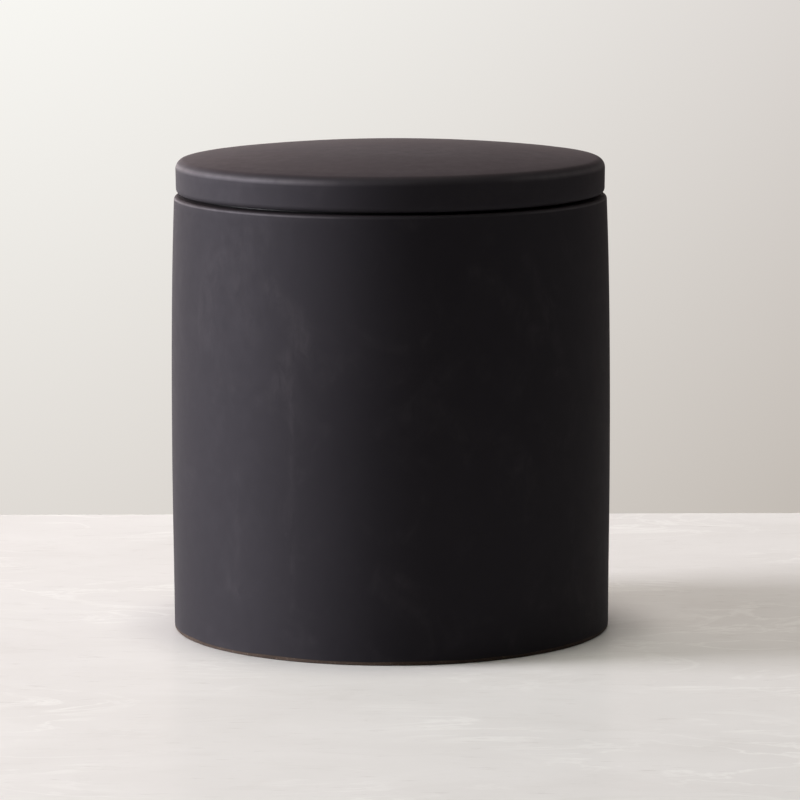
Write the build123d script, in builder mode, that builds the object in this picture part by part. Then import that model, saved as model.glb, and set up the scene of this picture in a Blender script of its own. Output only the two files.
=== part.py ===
"""Sugar bowl: a straight-sided stoneware pot, a thick lid with a shallow domed top, and the
silicone ring that seals the lid in the pot's mouth.

Lengths are in millimetres. +Z is up, the axis of every piece is the Z axis, and the origin is
the middle of the circle that the bowl stands on. Each piece is drawn as a half section on the
XZ plane, where X is the radius, and revolved about Z.
"""

from build123d import *
import os

# Bowl, outside
BASE_RADIUS = 44.84  # where the wall meets the table
BELLY_RADIUS = 45.08  # widest part of the wall
BELLY_HEIGHT = 35.0
MOUTH_RADIUS = 44.18  # at the rim, which draws in a little
MOUTH_LEAN = 0.04  # how far the wall leans in at the rim, per unit of height
RIM_HEIGHT = 89.1
RIM_OUTER_ROUND = 0.7
RIM_INNER_ROUND = 0.5
FOOT_ROUND = 0.4

# Bowl, inside and underneath
CAVITY_RADIUS = 40.4
CAVITY_MOUTH_RADIUS = 40.0  # the seal's fins run in here
CAVITY_CORNER_ROUND = 8.0
FLOOR_HEIGHT = 6.6
FOOT_RING_WIDTH = 6.4
FOOT_RECESS_DEPTH = 1.6
FOOT_RECESS_SLOPE = 1.2  # how much narrower the recess is at its roof than at its mouth
FOOT_RECESS_ROUND = 0.7

# Lid
LID_RADIUS = 43.96
LID_DRAFT = 0.1  # the lid's edge is this much narrower at its foot
LID_GAP = 0.5  # from the rim up to the lid, where the seal's flange lies
LID_EDGE_HEIGHT = 6.9
LID_DOME_RISE = 2.95
LID_UPPER_ROUND = 1.75
LID_LOWER_ROUND = 1.1
HOLLOW_EDGE_RISE = 1.3  # roof of the hollow above the lid's underside, next to the spigot
HOLLOW_DOME_RISE = 2.6  # and how much higher it is in the middle
HOLLOW_ROUND = 1.5

# Spigot, the ring under the lid that reaches into the mouth
SPIGOT_DEPTH = 7.6
SPIGOT_INNER_RADIUS = 33.0
SPIGOT_NECK_RADIUS = 36.6  # the seal sits round this
SPIGOT_LIP_RADIUS = 38.1  # and this keeps it from sliding off
SPIGOT_LIP_HEIGHT = 2.3
SPIGOT_LIP_ROUND = 0.8

# Seal
SEAL_CLEARANCE = 0.05  # to the spigot's neck and lip
SEAL_FACE_GAP = 0.03  # to the rim below and to the lid above
SEAL_BAND_THICKNESS = 1.3
SEAL_FLANGE_RADIUS = 41.2
SEAL_FLANGE_ROUND = 0.15
FIN_COUNT = 2
FIN_PITCH = 2.1
FIN_START = 0.2  # the lowest fin's root above the foot of the band
FIN_RADIUS = 39.75
FIN_ROOT_THICKNESS = 1.0
FIN_TIP_THICKNESS = 0.45
FIN_SWEEP = 0.8  # how far a fin's tip stands above its root

TOLERANCE = 0.01  # for finding an edge by its place and radius

lid_base = RIM_HEIGHT + LID_GAP
lid_edge_top = lid_base + LID_EDGE_HEIGHT
lid_top = lid_edge_top + LID_DOME_RISE
hollow_edge = lid_base + HOLLOW_EDGE_RISE
spigot_foot = lid_base - SPIGOT_DEPTH
lip_top = spigot_foot + SPIGOT_LIP_HEIGHT


def circles_at(piece, height, radius):
    """The piece's circular edges that lie at this height and have this radius."""
    circles = piece.edges().filter_by(GeomType.CIRCLE)
    level = circles.filter_by_position(Axis.Z, height - TOLERANCE, height + TOLERANCE)
    return level.filter_by(lambda edge: abs(edge.radius - radius) < TOLERANCE)


def dome_arc(radius, edge_height, rise):
    """A shallow arc from the edge up to the axis, level at the axis, in the open BuildLine."""
    middle = (radius / 2, edge_height + rise * 3 / 4)
    return ThreePointArc((radius, edge_height), middle, (0, edge_height + rise))


os.makedirs("parts", exist_ok=True)

# Bowl: a thick-walled pot with a flat rim, a round corner inside and a ring to stand on.
with BuildPart() as bowl:
    with BuildSketch(Plane.XZ):
        with BuildLine():
            outside = Spline(
                (BASE_RADIUS, 0),
                (BELLY_RADIUS, BELLY_HEIGHT),
                (MOUTH_RADIUS, RIM_HEIGHT),
                tangents=[(0, 1), (-MOUTH_LEAN, 1)],
            )
            Polyline(outside @ 1, (0, RIM_HEIGHT), (0, 0), outside @ 0)
        make_face()
    revolve(axis=Axis.Z)

    # The inside is straight up to the belly and draws in with the wall above it.
    with BuildSketch(Plane.XZ):
        with BuildLine():
            inside = Spline(
                (CAVITY_RADIUS, FLOOR_HEIGHT),
                (CAVITY_RADIUS, BELLY_HEIGHT),
                (CAVITY_MOUTH_RADIUS, RIM_HEIGHT),
                tangents=[(0, 1), (0, 1)],
            )
            Polyline(inside @ 1, (0, RIM_HEIGHT), (0, FLOOR_HEIGHT), inside @ 0)
        make_face()
    revolve(axis=Axis.Z, mode=Mode.SUBTRACT)

    # The shallow recess underneath leaves a flat ring to stand on.
    recess_radius = BASE_RADIUS - FOOT_RING_WIDTH
    recess_roof_radius = recess_radius - FOOT_RECESS_SLOPE
    with BuildSketch(Plane.XZ):
        with BuildLine():
            Polyline(
                (0, 0),
                (recess_radius, 0),
                (recess_roof_radius, FOOT_RECESS_DEPTH),
                (0, FOOT_RECESS_DEPTH),
                close=True,
            )
        make_face()
    revolve(axis=Axis.Z, mode=Mode.SUBTRACT)

    fillet(circles_at(bowl, FLOOR_HEIGHT, CAVITY_RADIUS), CAVITY_CORNER_ROUND)
    fillet(circles_at(bowl, RIM_HEIGHT, MOUTH_RADIUS), RIM_OUTER_ROUND)
    fillet(circles_at(bowl, RIM_HEIGHT, CAVITY_MOUTH_RADIUS), RIM_INNER_ROUND)
    fillet(circles_at(bowl, 0, BASE_RADIUS), FOOT_ROUND)
    fillet(circles_at(bowl, 0, recess_radius), FOOT_RECESS_ROUND)
    fillet(circles_at(bowl, FOOT_RECESS_DEPTH, recess_roof_radius), FOOT_RECESS_ROUND)
bowl.part.label = "bowl"
export_step(bowl.part, "parts/bowl.step")

# Lid: a thick disc with a domed top and soft edges, hollow inside its spigot.
with BuildPart() as lid:
    with BuildSketch(Plane.XZ):
        with BuildLine():
            top = dome_arc(LID_RADIUS, lid_edge_top, LID_DOME_RISE)
            Polyline(top @ 1, (0, lid_base), (LID_RADIUS - LID_DRAFT, lid_base), top @ 0)
        make_face()
    revolve(axis=Axis.Z)
    fillet(circles_at(lid, lid_edge_top, LID_RADIUS), LID_UPPER_ROUND)
    fillet(circles_at(lid, lid_base, LID_RADIUS - LID_DRAFT), LID_LOWER_ROUND)

    with BuildSketch(Plane.XZ):
        with BuildLine():
            Polyline(
                (SPIGOT_INNER_RADIUS, lid_base),
                (SPIGOT_NECK_RADIUS, lid_base),
                (SPIGOT_NECK_RADIUS, lip_top),
                (SPIGOT_LIP_RADIUS, lip_top),
                (SPIGOT_LIP_RADIUS, spigot_foot),
                (SPIGOT_INNER_RADIUS, spigot_foot),
                close=True,
            )
        make_face()
    revolve(axis=Axis.Z)
    fillet(circles_at(lid, spigot_foot, SPIGOT_LIP_RADIUS), SPIGOT_LIP_ROUND)
    fillet(circles_at(lid, spigot_foot, SPIGOT_INNER_RADIUS), SPIGOT_LIP_ROUND)

    with BuildSketch(Plane.XZ):
        with BuildLine():
            roof = dome_arc(SPIGOT_INNER_RADIUS, hollow_edge, HOLLOW_DOME_RISE)
            Polyline(roof @ 1, (0, lid_base), (SPIGOT_INNER_RADIUS, lid_base), roof @ 0)
        make_face()
    revolve(axis=Axis.Z, mode=Mode.SUBTRACT)
    fillet(circles_at(lid, hollow_edge, SPIGOT_INNER_RADIUS), HOLLOW_ROUND)
lid.part.label = "lid"
export_step(lid.part, "parts/lid.step")

# Seal: a soft band round the spigot's neck. Its flange lies between the rim and the lid, and
# its fins sweep upwards to wipe the inside of the mouth.
with BuildPart() as lid_seal:
    band_inner = SPIGOT_NECK_RADIUS + SEAL_CLEARANCE
    band_outer = band_inner + SEAL_BAND_THICKNESS
    band_foot = lip_top + SEAL_CLEARANCE
    flange_foot = RIM_HEIGHT + SEAL_FACE_GAP
    flange_top = lid_base - SEAL_FACE_GAP
    with BuildSketch(Plane.XZ):
        with BuildLine():
            Polyline(
                (band_inner, band_foot),
                (band_outer, band_foot),
                (band_outer, flange_foot),
                (SEAL_FLANGE_RADIUS, flange_foot),
                (SEAL_FLANGE_RADIUS, flange_top),
                (band_inner, flange_top),
                close=True,
            )
        make_face()
        for fin in range(FIN_COUNT):
            root_foot = band_foot + FIN_START + fin * FIN_PITCH
            tip_foot = root_foot + FIN_SWEEP
            with BuildLine():
                Polyline(
                    (band_inner, root_foot),
                    (band_outer, root_foot),
                    (FIN_RADIUS, tip_foot),
                    (FIN_RADIUS, tip_foot + FIN_TIP_THICKNESS),
                    (band_outer, root_foot + FIN_ROOT_THICKNESS),
                    (band_inner, root_foot + FIN_ROOT_THICKNESS),
                    close=True,
                )
            make_face()
    revolve(axis=Axis.Z)
    fillet(circles_at(lid_seal, flange_foot, SEAL_FLANGE_RADIUS), SEAL_FLANGE_ROUND)
    fillet(circles_at(lid_seal, flange_top, SEAL_FLANGE_RADIUS), SEAL_FLANGE_ROUND)
lid_seal.part.label = "lid_seal"
export_step(lid_seal.part, "parts/lid_seal.step")
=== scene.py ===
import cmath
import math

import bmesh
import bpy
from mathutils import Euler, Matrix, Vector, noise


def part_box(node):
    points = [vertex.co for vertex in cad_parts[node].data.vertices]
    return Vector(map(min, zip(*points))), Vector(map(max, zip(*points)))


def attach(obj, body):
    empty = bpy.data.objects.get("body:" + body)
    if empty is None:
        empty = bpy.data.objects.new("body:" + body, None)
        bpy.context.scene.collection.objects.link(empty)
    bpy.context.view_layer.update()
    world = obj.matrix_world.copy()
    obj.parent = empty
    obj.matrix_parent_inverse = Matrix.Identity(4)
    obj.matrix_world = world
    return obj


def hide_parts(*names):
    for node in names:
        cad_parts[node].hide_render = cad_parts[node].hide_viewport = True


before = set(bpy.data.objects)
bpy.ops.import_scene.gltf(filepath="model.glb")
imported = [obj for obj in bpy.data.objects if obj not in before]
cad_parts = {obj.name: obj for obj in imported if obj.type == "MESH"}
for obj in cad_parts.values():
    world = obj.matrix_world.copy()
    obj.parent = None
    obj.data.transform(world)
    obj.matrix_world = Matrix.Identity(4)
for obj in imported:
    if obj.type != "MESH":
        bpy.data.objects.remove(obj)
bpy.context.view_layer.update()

# A sugar bowl in matte black stoneware: a pot, its flush lid with a shallow dome, and the
# silicone ring that seals the lid. Blender's lengths are metres. The outlines below are half
# sections in millimetres, given as distance from the axis and height above the table, and the
# frame says how large each piece is.

MM = 0.001
bowl_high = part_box("bowl")[1] / MM
lid_low, lid_high = (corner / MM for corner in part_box("lid"))
seal_low, seal_high = (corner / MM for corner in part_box("lid_seal"))

# How finely the pieces are divided
SEGMENTS = 320  # round the axis
RUN_STEP = 1.2  # between rings on a straight run
ARC_STEP = math.radians(12)  # between rings on a rounded corner

# Unevenness of hand-finished stoneware, all of it inwards, so that no piece outgrows its size
WALL_WAVE = 0.05
EDGE_WAVE = 0.09
WAVE_ROOM = 0.01  # kept free between a plain outline and the frame's size

# Bowl
BELLY_RADIUS = min(bowl_high.x, bowl_high.y) - WAVE_ROOM
BELLY_HEIGHT = 35.0
BASE_DRAW = 0.22  # how much narrower the wall is at the table than at the belly
MOUTH_DRAW = 0.86  # and at the rim
MOUTH_LEAN = 0.04  # how far the wall leans in at the rim, per unit of height
RIM_HEIGHT = bowl_high.z
CAVITY_RADIUS = 40.4
CAVITY_DRAW = 0.4  # how much narrower the inside is at the mouth
FLOOR_HEIGHT = 6.6
FLOOR_ROUND = 8.0
RIM_OUTER_ROUND = 0.7
RIM_INNER_ROUND = 0.5
FOOT_ROUND = 0.35
RECESS_HEIGHT = 1.6
RECESS_RADIUS = 38.4
RECESS_SLOPE = 1.2  # how much narrower the recess is at its roof than at its mouth
RECESS_ROUND = 0.7
GLAZE_LINE = 0.75  # the wall is bare below this height
GLAZE_THICKNESS = 0.05
GLAZE_LIP = 0.08  # how far above its line the glaze has its full thickness, and how round it is
GLAZE_FOOT_ROUND = 0.03
GLAZE_WAVER = 0.16  # how far the glaze line wanders up and down
GLAZE_WAVER_REACH = 0.6  # how far above and below the line its wandering is felt
LINER_LINE = RIM_HEIGHT - 2.4  # the glossy inner glaze starts here

# Lid
LID_RADIUS = min(lid_high.x, lid_high.y) - WAVE_ROOM
LID_GAP = 0.5  # from the rim up to the lid, where the seal's flange lies
LID_BASE = RIM_HEIGHT + LID_GAP
LID_DOME_RISE = 2.95
LID_EDGE_TOP = lid_high.z - LID_DOME_RISE
LID_DRAFT = 0.1  # the lid's edge is this much narrower at its foot
LID_UPPER_ROUND = 1.75
LID_LOWER_ROUND = 1.1
LID_LEAN = 0.0012  # how much higher the lid's top is towards +X, per unit of length
LID_EDGE_WIDTH = 3.0  # the lid's edge is uneven this far inwards
LID_EDGE_DEPTH = 2.0  # and its top this far down
SPIGOT_FOOT = lid_low.z
SPIGOT_INNER_RADIUS = 33.0
SPIGOT_NECK_RADIUS = 36.6
SPIGOT_LIP_RADIUS = 38.1
SPIGOT_LIP_TOP = SPIGOT_FOOT + 2.3
SPIGOT_BARE_TOP = SPIGOT_LIP_TOP - 0.6  # the spigot is unglazed below this height
SPIGOT_LIP_ROUND = 0.8
SPIGOT_TIGHT_ROUND = 0.15
HOLLOW_EDGE = LID_BASE + 1.3  # roof of the hollow next to the spigot
HOLLOW_RISE = 2.6  # and how much higher it is in the middle
HOLLOW_ROUND = 1.5

# Pale marks, chalky wipes on the wall and lighter patches on the lid's top: a line, its half
# width in millimetres, and its strength. On the wall a line's points are degrees round from the
# front and heights, and on the lid they lie in plan.
BOWL_MARKS = [
    ([(-33, 75), (-29, 71.5), (-25, 69.5), (-23, 66.5), (-22, 63.5)], 3.4, 0.32),
    ([(-22, 64), (-24, 62), (-27, 60), (-30, 54)], 3.6, 0.3),
    ([(-26, 60), (-25.8, 33), (-26, 11)], 1.3, 0.22),
    ([(-43, 40), (-43, 11)], 1.5, 0.18),
    ([(-52, 78), (-58, 66)], 7.0, 0.24),
    ([(-36, 84), (-44, 74), (-38, 66)], 6.0, 0.2),
    ([(37, 80), (44, 70), (49, 58)], 2.4, 0.2),
    ([(118, 70), (131, 52), (129, 40)], 3.0, 0.35),
    ([(-150, 44), (-141, 30), (-144, 18)], 2.6, 0.3),
]
LID_MARKS = [
    ([complex(-9, -11), complex(2, -15), complex(13, -12)], 15.0, 0.75),
    ([complex(-4, 29), complex(16, 31)], 11.0, 0.4),
    ([complex(-18, 2), complex(-12, -8)], 9.0, 0.4),
    ([complex(-30, -14), complex(-22, -20)], 6.0, 0.2),
    ([complex(24, -16), complex(30, -10)], 5.0, 0.25),
]

DEGREE_ROUND = BELLY_RADIUS * math.radians(1)  # a degree round the wall, in millimetres
WALL_STROKES = [
    ([complex(turn * DEGREE_ROUND, height) for turn, height in line], width, strength)
    for line, width, strength in BOWL_MARKS
]

# Rubbed edges, which also carry a painted highlight: degrees round from the front, and how
# worn and how brightly highlighted they are there
EDGE_WEAR_AND_HIGHLIGHT = [(-180, 0.5), (-80, 0.9), (-24, 1.0), (-8, 0.2), (25, 0.1), (48, 0.7), (180, 0.5)]
WEAR_AND_HIGHLIGHT_LIFT = 24  # degrees above level that a rubbed arc faces where it is worn and painted brightest
WEAR_AND_HIGHLIGHT_REACH = 28  # and how many degrees from there the wear and the painted highlight end

# Seal: a band round the spigot's neck, a flange over the rim, and two fins
BAND_CLEARANCE = 0.05
BAND_THICKNESS = 1.3
BAND_INNER = SPIGOT_NECK_RADIUS + BAND_CLEARANCE
BAND_OUTER = BAND_INNER + BAND_THICKNESS
BAND_ROUND = 0.1
BAND_FOOT_ROUND = 0.08
FLANGE_RADIUS = min(seal_high.x, seal_high.y)
FLANGE_CLEARANCE = 0.03
FLANGE_FOOT = RIM_HEIGHT + FLANGE_CLEARANCE
FLANGE_ROUND = 0.17
FLANGE_ROOT_ROUND = 0.3
FIN_RADIUS = 39.75
FIN_HEIGHTS = (seal_low.z + 0.2, seal_low.z + 2.3)
FIN_SWEEP = 0.8
FIN_ROOT_THICKNESS = 1.0
FIN_TIP_THICKNESS = 0.45
FIN_TIP_ROUND = 0.15
FIN_LOWER_ROUND = 0.05  # where its underside meets the band
FIN_UPPER_ROUND = 0.1
FIN_WANDER = 0.12  # how far the soft edges wander inwards


def unit(number):
    """A complex number's direction."""
    return number / abs(number)


def arc(before, corner, after, rounding):
    """A rounded corner's points, each with the outline's heading there, and the turn it makes.

    The turn is positive to the left.
    """
    came = unit(corner - before)
    goes = unit(after - corner)
    turn = cmath.phase(goes / came)
    start = corner - came * rounding * math.tan(abs(turn) / 2)
    middle = start + came * 1j * math.copysign(rounding, turn)
    count = math.ceil(abs(turn) / ARC_STEP)
    swings = (cmath.rect(1, turn * step / count) for step in range(count + 1))
    return [(middle + (start - middle) * swing, came * swing) for swing in swings], turn


def arc_wear_and_highlight(heading):
    """How worn an arc gets where the outline has this heading, and how strongly the glaze paints
    a highlight on it there.
    """
    lift = math.degrees(math.atan2(-heading.real, abs(heading.imag)))
    return 1 - smooth_step(abs(lift - WEAR_AND_HIGHLIGHT_LIFT) / WEAR_AND_HIGHLIGHT_REACH)


def outline(corners, closed=False):
    """Divides a half section finely, with its solid side on the left.

    A corner is (radius, height, rounding, finish), and its finish covers its arc and the run
    after it. Each point returned is (radius, height, finish, wear), with wear up to 1 on a line
    along the arcs that hands and cloths rub, those that face outwards and up, and the glaze
    paints a highlight along that same line.
    """
    places = [complex(*corner[:2]) for corner in corners]
    points = []
    for index, (place, (*_, rounding, finish)) in enumerate(zip(places, corners)):
        if not rounding:
            points.append((place.real, place.imag, finish, 0.0))
            continue
        after = places[(index + 1) % len(places)]
        turned, turn = arc(places[index - 1], place, after, rounding)
        for point, heading in turned:
            wear_and_highlight = arc_wear_and_highlight(heading) if turn > 0 else 0.0
            points.append((point.real, point.imag, finish, wear_and_highlight))
    divided = []
    for index, start in enumerate(points):
        divided.append(start)
        if index == len(points) - 1 and not closed:
            break
        end = points[(index + 1) % len(points)]
        gap = math.dist(start[:2], end[:2])
        parts = math.ceil(gap / RUN_STEP)
        for part in range(1, parts):
            share = part / parts
            radius = start[0] + (end[0] - start[0]) * share
            height = start[1] + (end[1] - start[1]) * share
            divided.append((radius, height, start[2], 0.0))
    return divided


def revolve(name, points, shape, finishes, closed=False, marks=None):
    """Spins an outline round the axis into a piece.

    shape(radius, height, angle) says where a point of the plain outline really lies,
    marks(radius, height, angle) how chalky it is there, and finishes maps each finish's name to
    its material.
    """
    made = bmesh.new()
    # This layer marks the rubbed edges, where the glaze is worn and paints a highlight.
    wear_and_highlight_layer = made.verts.layers.float.new("wear_and_highlight")
    chalk_layer = made.verts.layers.float.new("chalk")
    rings = []
    for radius, height, _, wear_and_highlight in points:
        ring = []
        count = SEGMENTS if radius > 0 else 1
        for step in range(count):
            angle = 2 * math.pi * step / count
            real_radius, real_height = shape(radius, height, angle)
            across = Vector((math.cos(angle), math.sin(angle), 0)) * real_radius
            vertex = made.verts.new((across + Vector((0, 0, real_height))) * MM)
            vertex[wear_and_highlight_layer] = wear_and_highlight * edge_wear_and_highlight(angle)
            vertex[chalk_layer] = marks(radius, height, angle) if marks else 0.0
            ring.append(vertex)
        rings.append(ring)
    slots = list(finishes)
    following = rings[1:] + rings[:1] if closed else rings[1:]
    for (_, _, finish, _), ring, upper in zip(points, rings, following):
        for step in range(SEGMENTS):
            corners = [
                ring[step % len(ring)],
                ring[(step + 1) % len(ring)],
                upper[(step + 1) % len(upper)],
                upper[step % len(upper)],
            ]
            face = made.faces.new(dict.fromkeys(corners))
            face.smooth = True
            face.material_index = slots.index(finish)
    mesh = bpy.data.meshes.new(name)
    made.to_mesh(mesh)
    made.free()
    for material in finishes.values():
        mesh.materials.append(material)
    piece = bpy.data.objects.new(name, mesh)
    bpy.context.scene.collection.objects.link(piece)
    return piece


def smooth_step(value):
    """Rises from 0 to 1 with level ends as the value goes from 0 to 1."""
    value = min(max(value, 0.0), 1.0)
    return value * value * (3 - 2 * value)


def gap_to_line(place, line):
    """How far a point lies from a line of straight runs, all of them complex numbers."""
    gaps = []
    for start, end in zip(line, line[1:]):
        run = end - start
        share = ((place - start) * run.conjugate()).real / abs(run) ** 2
        gaps.append(abs(place - start - run * min(max(share, 0), 1)))
    return min(gaps)


def chalk(place, strokes):
    """The strongest of some soft-edged strokes at a place. A stroke is (line, width, strength)."""
    found = 0.0
    for line, width, strength in strokes:
        found = max(found, strength * (1 - smooth_step(gap_to_line(place, line) / width)))
    return found


def from_front(angle):
    """Degrees round from the front, from -180 to 180, of an angle counted from +X."""
    return (math.degrees(angle) + 270) % 360 - 180


def edge_wear_and_highlight(angle):
    """How worn the edges are at this angle, and how strongly their painted highlight shows."""
    turn = from_front(angle)
    for (start, low), (end, high) in zip(EDGE_WEAR_AND_HIGHLIGHT, EDGE_WEAR_AND_HIGHLIGHT[1:]):
        if turn <= end:
            return low + (high - low) * smooth_step((turn - start) / (end - start))
    return EDGE_WEAR_AND_HIGHLIGHT[-1][1]


def ripple(radius, height, angle, size, seed):
    """Smooth unevenness from 0 to 1 whose waves are about size millimetres long."""
    place = Vector((radius * math.cos(angle), radius * math.sin(angle), height)) / size
    return 0.5 + 0.5 * noise.noise(place + Vector((seed, -seed, 2 * seed)))


# Materials


def colour(red, green, blue):
    """An opaque colour from linear light."""
    return (red, green, blue, 1.0)


GLAZE_TONE = colour(0.0098, 0.0088, 0.0108)
BLOOM_TONE = colour(0.0125, 0.0112, 0.0135)
MOTTLE_TONE = colour(0.0160, 0.0148, 0.0168)
# Dust on upward faces, its warm tint a painted sheen.
DUST_AND_SHEEN_TONE = colour(0.0172, 0.0115, 0.0125)
CHALK_TONE = colour(0.047, 0.0425, 0.0455)
# The rubbed edges' light tone is a painted highlight.
WEAR_AND_HIGHLIGHT_TONE = colour(0.066, 0.060, 0.0635)
LINER_TONE = colour(0.008, 0.008, 0.009)
POOL_TONE = colour(0.015, 0.014, 0.015)
CLAY_TONE = colour(0.04, 0.027, 0.02)
PALE_CLAY_TONE = colour(0.07, 0.048, 0.036)
GROG_TONE = colour(0.16, 0.12, 0.09)
RUBBER_TONE = colour(0.005, 0.005, 0.0055)
RUBBER_DUST_TONE = colour(0.013, 0.013, 0.0135)

# Sockets of a mix node that carry its share and its colours
MIX_SHARE = 0
MIX_FIRST = 6
MIX_SECOND = 7
MIX_COLOUR = 2


class Finish:
    """A material round one Principled shader, with short ways to add its nodes."""

    def __init__(self, name, **settings):
        self.material = bpy.data.materials.new(name)
        self.material.use_nodes = True
        self.tree = self.material.node_tree
        self.shader = self.tree.nodes["Principled BSDF"]
        for socket, value in settings.items():
            self.shader.inputs[socket.replace("_", " ")].default_value = value
        where = self.tree.nodes.new("ShaderNodeTexCoord").outputs
        self.place = where["Object"]
        self.facing = where["Normal"]

    def node(self, kind, links, **settings):
        """Adds a node, sets its properties, and joins or sets its inputs by name or index."""
        made = self.tree.nodes.new(kind)
        for key, value in settings.items():
            setattr(made, key, value)
        for socket, value in links.items():
            if isinstance(value, bpy.types.NodeSocket):
                self.tree.links.new(value, made.inputs[socket])
            else:
                made.inputs[socket].default_value = value
        return made

    def clouds(self, size, detail=3.0, roughness=0.5, stretch=(1, 1, 1), twist=0.0):
        """Noise from 0 to 1 whose patches are about size millimetres across."""
        spread = [part / (size * MM) for part in stretch]
        place = self.node("ShaderNodeMapping", {"Vector": self.place, "Scale": spread})
        links = {
            "Vector": place.outputs["Vector"],
            "Scale": 1.0,
            "Detail": detail,
            "Roughness": roughness,
            "Distortion": twist,
        }
        return self.node("ShaderNodeTexNoise", links).outputs["Fac"]

    def between(self, value, low, high, start=0.0, end=1.0):
        """Carries value's range from low to high over to the range from start to end."""
        links = {
            "Value": value,
            "From Min": low,
            "From Max": high,
            "To Min": start,
            "To Max": end,
        }
        return self.node("ShaderNodeMapRange", links).outputs["Result"]

    def math(self, operation, first, second=0.0):
        """Two values added or subtracted, or one made positive."""
        links = {0: first, 1: second}
        return self.node("ShaderNodeMath", links, operation=operation).outputs["Value"]

    def times(self, first, second):
        """Two values multiplied."""
        return self.math("MULTIPLY", first, second)

    def mix(self, share, first, second):
        """A colour that goes from the first to the second as share goes from 0 to 1."""
        links = {MIX_SHARE: share, MIX_FIRST: first, MIX_SECOND: second}
        return self.node("ShaderNodeMix", links, data_type="RGBA").outputs[MIX_COLOUR]

    def bump(self, height, depth, over=None):
        """Dents of depth millimetres where height goes from 1 to 0, over an earlier bump."""
        links = {"Height": height, "Distance": depth * MM, "Strength": 1.0}
        if over is not None:
            links["Normal"] = over
        return self.node("ShaderNodeBump", links).outputs["Normal"]

    def attribute(self, name):
        """A value that the mesh carries at its vertices."""
        made = self.node("ShaderNodeAttribute", {}, attribute_name=name)
        return made.outputs["Fac"]

    def feed(self, socket, value):
        """Joins a node's output to one input of the shader."""
        self.tree.links.new(value, self.shader.inputs[socket])


def matte_glaze(name, gloss):
    """Matte black glaze: a faint violet-grey bloom, chalky wipe marks, dust with a warm painted
    sheen where it faces up, and rubbed edges with a painted highlight.
    """
    made = Finish(name, Specular_IOR_Level=gloss, Specular_Tint=colour(0.96, 0.88, 1.0))
    chalky = made.attribute("chalk")
    wear_and_highlight_mask = made.attribute("wear_and_highlight")

    # The coat is clouded broadly and mottled finely, and dusty where it faces up, with a warm
    # painted sheen mixed into that dust's tone.
    bloom = made.between(made.clouds(34, detail=4, roughness=0.55, twist=0.4), 0.35, 0.68)
    mottle = made.between(made.clouds(2.6, detail=3, roughness=0.6, twist=0.3), 0.3, 0.7)
    tone = made.mix(bloom, GLAZE_TONE, BLOOM_TONE)
    tone = made.mix(made.times(mottle, 0.35), tone, MOTTLE_TONE)
    upwards = made.node("ShaderNodeSeparateXYZ", {"Vector": made.facing}).outputs["Z"]
    dust = made.between(bloom, 0, 1, start=0.6)
    dust = made.times(made.between(upwards, 0.6, 0.98), dust)
    tone = made.mix(dust, tone, DUST_AND_SHEEN_TONE)

    # Wipe marks are broken into wisps, with a few faint ones anywhere.
    wisps = made.clouds(4.5, detail=6, roughness=0.65, stretch=(1.4, 1.4, 0.7), twist=0.9)
    wisps = made.between(wisps, 0.36, 0.66)
    faint = made.between(made.clouds(15, detail=5, roughness=0.6, twist=1.2), 0.5, 0.74)
    smudge = made.math("ADD", chalky, made.times(faint, 0.28))
    smudge = made.times(smudge, wisps)
    tone = made.mix(smudge, tone, CHALK_TONE)
    # The rubbed edges are painted lighter: a painted highlight that follows their wear.
    rubbed_and_highlight = made.between(made.clouds(3.4, detail=3), 0.3, 0.7, start=0.6)
    rubbed_and_highlight = made.times(rubbed_and_highlight, wear_and_highlight_mask)
    tone = made.mix(rubbed_and_highlight, tone, WEAR_AND_HIGHLIGHT_TONE)
    made.feed("Base Color", tone)

    # Rubbing polishes the edges a little, and chalk dulls the coat.
    rough = made.between(mottle, 0, 1, start=0.73, end=0.79)
    rough = made.math("SUBTRACT", rough, made.times(wear_and_highlight_mask, 0.16))
    made.feed("Roughness", made.math("ADD", rough, made.times(smudge, 0.1)))
    dimples = made.bump(made.clouds(1.6, detail=2, roughness=0.4), 0.012)
    made.feed("Normal", made.bump(made.clouds(0.28, detail=2), 0.004, over=dimples))
    return made.material


def liner_glaze():
    """Glossy black glaze inside the pot, with the soft dimples of a melted coat."""
    made = Finish("liner_glaze", Specular_IOR_Level=0.5)
    pool = made.between(made.clouds(16, detail=3), 0.35, 0.65)
    made.feed("Base Color", made.mix(pool, LINER_TONE, POOL_TONE))
    gloss = made.between(made.clouds(7, detail=4), 0.35, 0.7, start=0.14, end=0.26)
    made.feed("Roughness", gloss)
    dimples = made.bump(made.clouds(4.5, detail=1, roughness=0.3), 0.035)
    fine = made.clouds(0.9, detail=1, roughness=0.4)
    made.feed("Normal", made.bump(fine, 0.003, over=dimples))
    return made.material


def bare_clay():
    """Unglazed dark stoneware with fine grog, where a piece stood in the kiln."""
    made = Finish("bare_clay", Specular_IOR_Level=0.25)
    earth = made.between(made.clouds(8, detail=4, roughness=0.6), 0.35, 0.65)
    tone = made.mix(earth, CLAY_TONE, PALE_CLAY_TONE)
    grog = made.between(made.clouds(0.5, detail=3, roughness=0.7), 0.58, 0.68)
    tone = made.mix(made.times(grog, 0.6), tone, GROG_TONE)
    made.feed("Base Color", tone)
    made.feed("Roughness", made.between(grog, 0, 1, start=0.92, end=0.75))
    coarse = made.bump(made.clouds(0.9, detail=3, roughness=0.7), 0.05)
    fine = made.clouds(0.25, detail=3, roughness=0.7)
    made.feed("Normal", made.bump(fine, 0.03, over=coarse))
    return made.material


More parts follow.
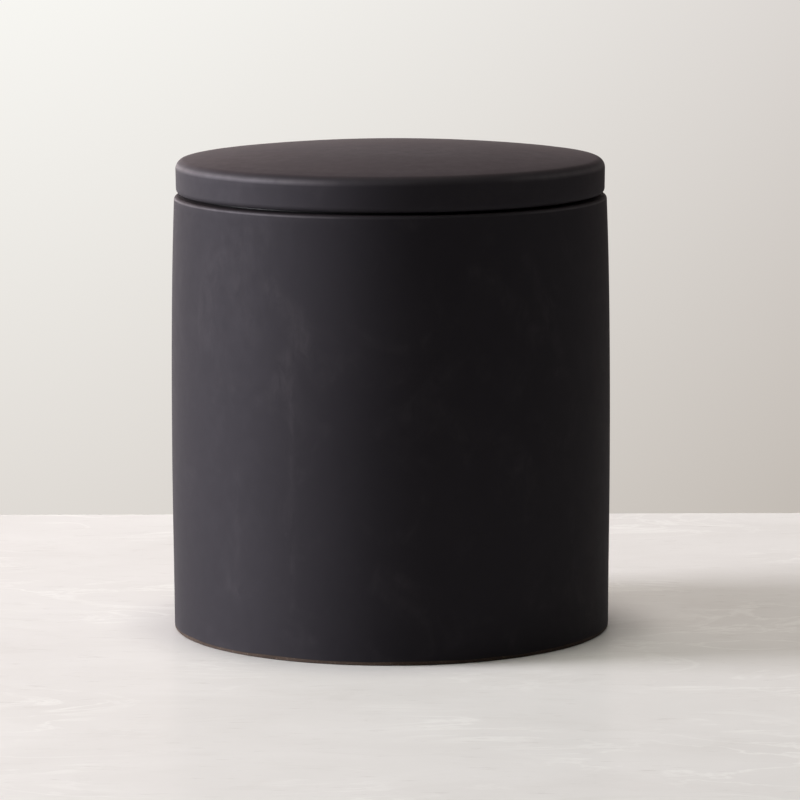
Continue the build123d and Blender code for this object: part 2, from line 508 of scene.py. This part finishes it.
def silicone():
    """Black silicone rubber, softly satin, with a trace of dust."""
    made = Finish("silicone", Specular_IOR_Level=0.3)
    dust = made.between(made.clouds(1.3, detail=5, roughness=0.7), 0.58, 0.78)
    made.feed("Base Color", made.mix(dust, RUBBER_TONE, RUBBER_DUST_TONE))
    satin = made.between(made.clouds(5, detail=3), 0.3, 0.7, start=0.42, end=0.55)
    made.feed("Roughness", satin)
    made.feed("Normal", made.bump(made.clouds(0.6, detail=2), 0.006))
    return made.material


# Pieces


def wall_radius(height):
    """Outside of the wall: widest at the belly, a little narrower at the table and the rim."""
    if height < BELLY_HEIGHT:
        return BELLY_RADIUS - BASE_DRAW * (1 - smooth_step(height / BELLY_HEIGHT))
    length = RIM_HEIGHT - BELLY_HEIGHT
    share = (height - BELLY_HEIGHT) / length
    lean = MOUTH_LEAN * length * share * share * (1 - share)
    return BELLY_RADIUS - MOUTH_DRAW * smooth_step(share) + lean


def bowl_shape(radius, height, angle):
    """Gives the bowl its swell, its narrowing inside, and a slight unevenness."""
    outer = min(max((radius - CAVITY_RADIUS) / (BELLY_RADIUS - CAVITY_RADIUS), 0), 1)
    narrowing = CAVITY_DRAW * smooth_step((height - BELLY_HEIGHT) / (RIM_HEIGHT - BELLY_HEIGHT))
    wave = WALL_WAVE * ripple(radius, height, angle, size=22, seed=3.1)
    near_line = 1 - smooth_step(abs(height - GLAZE_LINE) / GLAZE_WAVER_REACH)
    if radius > CAVITY_RADIUS + 1:  # the glaze line runs round the outside only
        waver = ripple(radius, 0, angle, size=7, seed=5.7) * 2 - 1
        height += GLAZE_WAVER * near_line * waver
    radius += outer * (wall_radius(height) - BELLY_RADIUS - wave) - (1 - outer) * narrowing
    return radius, height


def bowl_marks(radius, height, angle):
    """Where the wall was wiped, with the wall unrolled from the middle of its front."""
    if radius < BELLY_RADIUS - 1:  # the inside and the underside have none
        return 0.0
    return chalk(complex(from_front(angle) * DEGREE_ROUND, height), WALL_STROKES)


def make_bowl(finishes):
    """The pot, from the middle of its underside up the wall and down to the middle inside."""
    bare_radius = BELLY_RADIUS - GLAZE_THICKNESS
    corners = [
        (0, RECESS_HEIGHT, 0, "matte_glaze"),
        (RECESS_RADIUS - RECESS_SLOPE, RECESS_HEIGHT, RECESS_ROUND, "matte_glaze"),
        (RECESS_RADIUS, 0, RECESS_ROUND, "bare_clay"),
        (bare_radius, 0, FOOT_ROUND, "bare_clay"),
        (bare_radius, GLAZE_LINE, GLAZE_FOOT_ROUND, "matte_glaze"),
        (BELLY_RADIUS, GLAZE_LINE + GLAZE_LIP, GLAZE_LIP, "matte_glaze"),
        (BELLY_RADIUS, RIM_HEIGHT, RIM_OUTER_ROUND, "matte_glaze"),
        (CAVITY_RADIUS, RIM_HEIGHT, RIM_INNER_ROUND, "matte_glaze"),
        (CAVITY_RADIUS, LINER_LINE, 0, "liner_glaze"),
        (CAVITY_RADIUS, FLOOR_HEIGHT, FLOOR_ROUND, "liner_glaze"),
        (0, FLOOR_HEIGHT, 0, "liner_glaze"),
    ]
    piece = revolve("stoneware_bowl", outline(corners), bowl_shape, finishes, marks=bowl_marks)
    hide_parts("bowl")
    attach(piece, "bowl")


def lid_shape(radius, height, angle):
    """Gives the lid its dome above and below, and uneven edges."""
    dome = LID_DOME_RISE * (1 - (radius / LID_RADIUS) ** 2)
    if height > (LID_BASE + LID_EDGE_TOP) / 2:
        height += dome + LID_LEAN * radius * math.cos(angle)
    elif height >= HOLLOW_EDGE - HOLLOW_ROUND and radius < SPIGOT_INNER_RADIUS:
        height += HOLLOW_RISE * (1 - (radius / SPIGOT_INNER_RADIUS) ** 2)
    if radius > LID_RADIUS - LID_EDGE_WIDTH:
        uneven = EDGE_WAVE * ripple(radius, height, angle, size=9, seed=8.3)
        radius -= WALL_WAVE * ripple(radius, 0, angle, size=26, seed=1.9) + uneven
        height -= uneven if height > LID_EDGE_TOP - LID_EDGE_DEPTH else 0
    return radius, height


def lid_marks(radius, height, angle):
    """Pale patches on the lid's top. Places are seen from above."""
    if height < LID_EDGE_TOP - 0.1:  # its edge and underside have none
        return 0.0
    return chalk(cmath.rect(radius, angle), LID_MARKS)


def make_lid(finishes):
    """The lid, from the middle of its hollow down the spigot and round to the middle on top."""
    corners = [
        (0, HOLLOW_EDGE, 0, "matte_glaze"),
        (SPIGOT_INNER_RADIUS, HOLLOW_EDGE, HOLLOW_ROUND, "matte_glaze"),
        (SPIGOT_INNER_RADIUS, SPIGOT_FOOT, SPIGOT_LIP_ROUND, "bare_clay"),
        (SPIGOT_LIP_RADIUS, SPIGOT_FOOT, SPIGOT_LIP_ROUND, "bare_clay"),
        (SPIGOT_LIP_RADIUS, SPIGOT_BARE_TOP, 0, "matte_glaze"),
        (SPIGOT_LIP_RADIUS, SPIGOT_LIP_TOP, SPIGOT_TIGHT_ROUND, "matte_glaze"),
        (SPIGOT_NECK_RADIUS, SPIGOT_LIP_TOP, SPIGOT_TIGHT_ROUND, "matte_glaze"),
        (SPIGOT_NECK_RADIUS, LID_BASE, SPIGOT_TIGHT_ROUND, "matte_glaze"),
        (LID_RADIUS - LID_DRAFT, LID_BASE, LID_LOWER_ROUND, "matte_glaze"),
        (LID_RADIUS, LID_EDGE_TOP, LID_UPPER_ROUND, "matte_glaze"),
        (0, LID_EDGE_TOP, 0, "matte_glaze"),
    ]
    piece = revolve("stoneware_lid", outline(corners), lid_shape, finishes, marks=lid_marks)
    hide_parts("lid")
    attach(piece, "lid")


def seal_shape(radius, height, angle):
    """Lets the fins' tips and the flange's edge wander a little, as soft rubber does."""
    reach = max(radius - BAND_OUTER, 0) / (FLANGE_RADIUS - BAND_OUTER)
    wander = FIN_WANDER * reach * ripple(radius, height, angle, size=12, seed=6.4)
    return radius - wander, height


def make_seal(finishes):
    """The silicone ring, from its inner foot round the fins and the flange."""
    corners = [
        (BAND_INNER, seal_low.z, BAND_ROUND, "silicone"),
        (BAND_OUTER, seal_low.z, BAND_FOOT_ROUND, "silicone"),
    ]
    for fin_foot in FIN_HEIGHTS:
        tip_foot = fin_foot + FIN_SWEEP
        corners += [
            (BAND_OUTER, fin_foot, FIN_LOWER_ROUND, "silicone"),
            (FIN_RADIUS, tip_foot, FIN_TIP_ROUND, "silicone"),
            (FIN_RADIUS, tip_foot + FIN_TIP_THICKNESS, FIN_TIP_ROUND, "silicone"),
            (BAND_OUTER, fin_foot + FIN_ROOT_THICKNESS, FIN_UPPER_ROUND, "silicone"),
        ]
    corners += [
        (BAND_OUTER, FLANGE_FOOT, FLANGE_ROOT_ROUND, "silicone"),
        (FLANGE_RADIUS, FLANGE_FOOT, FLANGE_ROUND, "silicone"),
        (FLANGE_RADIUS, seal_high.z, FLANGE_ROUND, "silicone"),
        (BAND_INNER, seal_high.z, BAND_ROUND, "silicone"),
    ]
    points = outline(corners, closed=True)
    piece = revolve("sealing_ring", points, seal_shape, finishes, closed=True)
    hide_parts("lid_seal")
    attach(piece, "seal")


# Stage, in metres

STAGE_ROUND = 0.0015
TABLE_BACK = 0.1366  # the table ends this far behind the bowl's axis
TABLE_SIZE = 2.4
TABLE_THICKNESS = 0.03
STONE_TONE = colour(0.74, 0.718, 0.70)
PALE_STONE_TONE = colour(0.80, 0.78, 0.765)
VEIN_TONE = colour(0.88, 0.865, 0.845)
STAIN_TONE = colour(0.66, 0.635, 0.61)
CRACK_TONE = colour(0.52, 0.49, 0.465)
BACKDROP_BEHIND = 1.5
BACKDROP_SIZE = 6.0
BACKDROP_THICKNESS = 0.1
BACKDROP_FADE = 0.215  # it darkens from this far on the left to this far on the right
BACKDROP_HEIGHTS = (-0.232, 0.048)  # and from the upper of these heights to the lower
BACKDROP_TOP = 0.2  # up to this height it turns warmer on the left and dimmer on the right
BACKDROP_END = 0.7  # and this far on the right it is dimmest
LIGHT_TARGET = Vector((0, 0, 0.05))

# Soft panels of light: degrees round from the camera towards the right, degrees above the
# table, distance, width, height, watts and tint
STUDIO_LIGHTS = {
    "window": (-87, 9, 2.4, 0.9, 0.75, 121, (0.945, 0.94, 1.0)),
    "upper_window": (-90, 22, 2.2, 1.3, 1.4, 11.5, (0.98, 0.99, 1.0)),
    "front_window": (-55, 22, 1.2, 0.7, 0.8, 1.2, (0.965, 1.0, 0.99)),
    "back_left": (-155, 20, 1.25, 0.6, 0.7, 2.1, (1.0, 0.84, 0.84)),
    "low_back_left": (-150, 9, 1.4, 0.7, 0.5, 3.7, (1.0, 0.92, 0.91)),
    "low_back": (180, 6, 1.45, 0.8, 0.35, 1.65, (1.0, 0.88, 0.84)),
    "right_wall": (100, 25, 1.5, 1.0, 0.8, 1.3, (1.0, 0.99, 0.97)),
    "ceiling": (0, 90, 1.3, 0.3, 0.3, 8.3, (1.0, 0.975, 0.895)),
}


def stage_box(name, low, high, material):
    """A staged block with softly rounded edges."""
    made = bmesh.new()
    bmesh.ops.create_cube(made, size=1)
    for vertex in made.verts:
        share = vertex.co + Vector((0.5, 0.5, 0.5))
        vertex.co = [start + (end - start) * part for start, end, part in zip(low, high, share)]
    rounding = {"offset": STAGE_ROUND, "segments": 3, "profile": 0.5}
    bmesh.ops.bevel(made, geom=made.edges, affect="EDGES", **rounding)
    mesh = bpy.data.meshes.new(name)
    made.to_mesh(mesh)
    made.free()
    mesh.materials.append(material)
    thing = bpy.data.objects.new(name, mesh)
    bpy.context.scene.collection.objects.link(thing)
    return thing


def pale_stone():
    """Honed pale stone: clouds, chalky veins, and a worn grain with fine cracks."""
    made = Finish("pale_table", Specular_IOR_Level=0.03, Coat_Weight=0.065, Coat_Roughness=0.22)
    cloud = made.clouds(42, detail=6, roughness=0.62, stretch=(0.55, 1, 1), twist=0.9)
    cloud = made.between(cloud, 0.3, 0.7)
    tone = made.mix(cloud, STONE_TONE, PALE_STONE_TONE)
    wander = made.clouds(30, detail=5, roughness=0.6, stretch=(0.45, 1, 1), twist=1.6)
    ridge = made.math("ABSOLUTE", made.math("SUBTRACT", wander, 0.5))
    patches = made.between(made.clouds(50, detail=3), 0.46, 0.6)
    vein = made.times(made.between(ridge, 0, 0.03, start=1, end=0), patches)
    tone = made.mix(made.times(vein, 0.7), tone, VEIN_TONE)
    stain = made.clouds(13, detail=6, roughness=0.7, stretch=(0.4, 1, 1), twist=1.0)
    stain = made.between(stain, 0.55, 0.72)
    tone = made.mix(made.times(stain, 0.35), tone, STAIN_TONE)
    grain = made.clouds(2.4, detail=5, roughness=0.7, stretch=(0.22, 1, 1))
    crack = made.between(grain, 0.6, 0.7)
    tone = made.mix(made.times(crack, 0.35), tone, CRACK_TONE)
    made.feed("Base Color", tone)
    made.feed("Roughness", made.between(cloud, 0, 1, start=0.72, end=0.85))
    broad = made.clouds(13, detail=4, roughness=0.6, stretch=(0.4, 1, 1))
    made.feed("Normal", made.bump(broad, 0.15, over=made.bump(grain, 0.1)))
    return made.material


def pale_backdrop():
    """Paper that shines by itself, brighter on the left than on the right."""
    made = Finish(
        "pale_backdrop",
        Base_Color=colour(0, 0, 0),
        Roughness=1.0,
        Specular_IOR_Level=0.0,
        Emission_Strength=1.0,
    )
    place = made.node("ShaderNodeSeparateXYZ", {"Vector": made.place}).outputs
    across = made.between(place["X"], -BACKDROP_FADE, BACKDROP_FADE)
    across = made.math("POWER", across, 1.35)
    upper = made.mix(across, colour(0.935, 0.925, 0.888), colour(0.715, 0.68, 0.65))
    lower = made.mix(across, colour(0.74, 0.705, 0.665), colour(0.545, 0.503, 0.46))
    low, high = BACKDROP_HEIGHTS
    shade = made.mix(made.between(place["Z"], low, high), lower, upper)
    above = made.mix(across, colour(1.22, 1.0, 0.99), colour(0.32, 0.26, 0.27))
    shade = made.mix(made.between(place["Z"], high, BACKDROP_TOP), shade, above)
    beside = made.between(place["X"], BACKDROP_FADE + 0.01, BACKDROP_END)
    shade = made.mix(beside, shade, colour(0.29, 0.24, 0.225))
    made.feed("Emission Color", shade)
    return made.material


def studio_light(name, azimuth, elevation, distance, width, height, power, tint):
    """A soft panel that faces the bowl and that the camera doesn't see."""
    turn = math.radians(azimuth)
    lift = math.radians(elevation)
    level = Vector((math.sin(turn), -math.cos(turn), 0)) * math.cos(lift)
    towards = level + Vector((0, 0, math.sin(lift)))
    data = bpy.data.lights.new(name, "AREA")
    data.shape = "RECTANGLE"
    data.size = width
    data.size_y = height
    data.energy = power
    data.color = tint
    light = bpy.data.objects.new(name, data)
    light.location = LIGHT_TARGET + towards * distance
    light.rotation_euler = (-towards).to_track_quat("-Z", "Y").to_euler()
    light.visible_camera = False
    bpy.context.scene.collection.objects.link(light)


def make_stage():
    """The table, the lights, and the backdrop, which only the camera and gloss see."""
    half = TABLE_SIZE / 2
    low = (-half, TABLE_BACK - TABLE_SIZE, -TABLE_THICKNESS)
    stage_box("table", low, (half, TABLE_BACK, 0), pale_stone())
    wall = BACKDROP_SIZE / 2
    low = (-wall, BACKDROP_BEHIND, -wall)
    high = (wall, BACKDROP_BEHIND + BACKDROP_THICKNESS, wall)
    backdrop = stage_box("backdrop", low, high, pale_backdrop())
    backdrop.visible_diffuse = False
    backdrop.visible_shadow = False

    for name, settings in STUDIO_LIGHTS.items():
        studio_light(name, *settings)

    # Beyond the backdrop the camera sees plain paper, which lights nothing.
    world = bpy.data.worlds.new("studio")
    bpy.context.scene.world = world
    world.use_nodes = True
    background = world.node_tree.nodes["Background"]
    background.inputs["Color"].default_value = colour(0.74, 0.72, 0.70)
    background.inputs["Strength"].default_value = 1.0
    world.cycles_visibility.diffuse = False
    world.cycles_visibility.glossy = False


# Camera: a long lens in front of the bowl, a little higher than the lid and tilted down

CAMERA_PLACE = (0.00187, -0.9205, 0.1786)  # metres
CAMERA_TILT = 8.159  # degrees below the horizon
CAMERA_ROLL = -0.134
CAMERA_LENS = 203.4  # millimetres, as is the sensor's width
SENSOR_WIDTH = 36.0


def make_camera():
    """The camera, with its roll turned about its own axis."""
    data = bpy.data.cameras.new("camera")
    data.sensor_width = SENSOR_WIDTH
    data.lens = CAMERA_LENS
    data.clip_start = 0.05
    data.clip_end = 20
    camera = bpy.data.objects.new("camera", data)
    camera.location = CAMERA_PLACE
    camera.rotation_mode = "ZXY"
    turn = (math.radians(90 - CAMERA_TILT), 0, math.radians(CAMERA_ROLL))
    camera.rotation_euler = Euler(turn, "ZXY")
    bpy.context.scene.collection.objects.link(camera)
    bpy.context.scene.camera = camera


clay = bare_clay()
bowl_glaze = matte_glaze("bowl_glaze", 0.2)
make_bowl({"matte_glaze": bowl_glaze, "liner_glaze": liner_glaze(), "bare_clay": clay})
make_lid({"matte_glaze": matte_glaze("lid_glaze", 0.255), "bare_clay": clay})
make_seal({"silicone": silicone()})
make_stage()
make_camera()
bpy.context.scene.view_settings.view_transform = "Standard"
